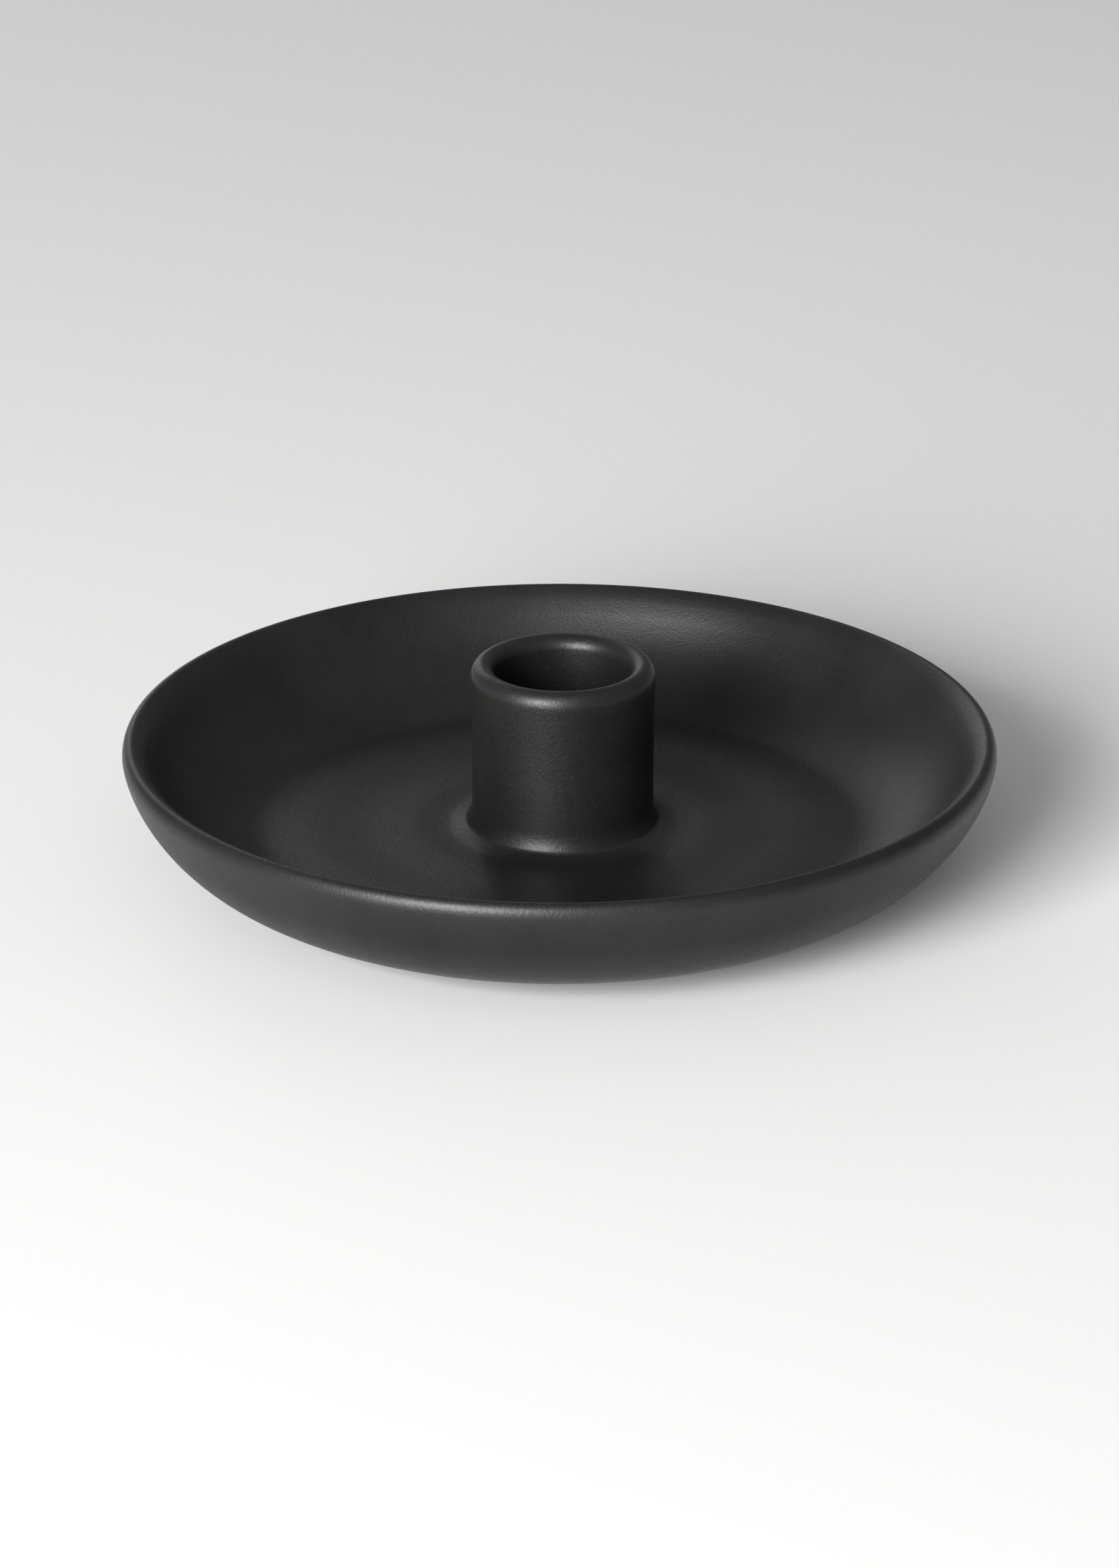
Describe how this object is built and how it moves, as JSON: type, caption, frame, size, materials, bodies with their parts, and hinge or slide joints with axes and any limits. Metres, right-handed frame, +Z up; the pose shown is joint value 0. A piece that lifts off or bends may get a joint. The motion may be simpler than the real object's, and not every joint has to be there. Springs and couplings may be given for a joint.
{
  "type": "candle holder dish",
  "caption": "Round shallow stoneware dish with a central tubular socket that holds one upright dinner candle and catches its wax.",
  "frame": {"origin": "on the dish's axis, in the plane of the surface that the pads stand on", "axes": "+Z up along the socket's axis; +X to the right and +Y away as the dish is seen from the front"},
  "size_m": [0.145, 0.145, 0.0377],
  "materials": {
    "black_glaze": "satin",
    "dark_felt": "matte"
  },
  "bodies": {
    "root": {"candle_dish": "black_glaze", "foot_pad_1": "dark_felt", "foot_pad_2": "dark_felt", "foot_pad_3": "dark_felt", "foot_pad_4": "dark_felt"}
  },
  "joints": []
}
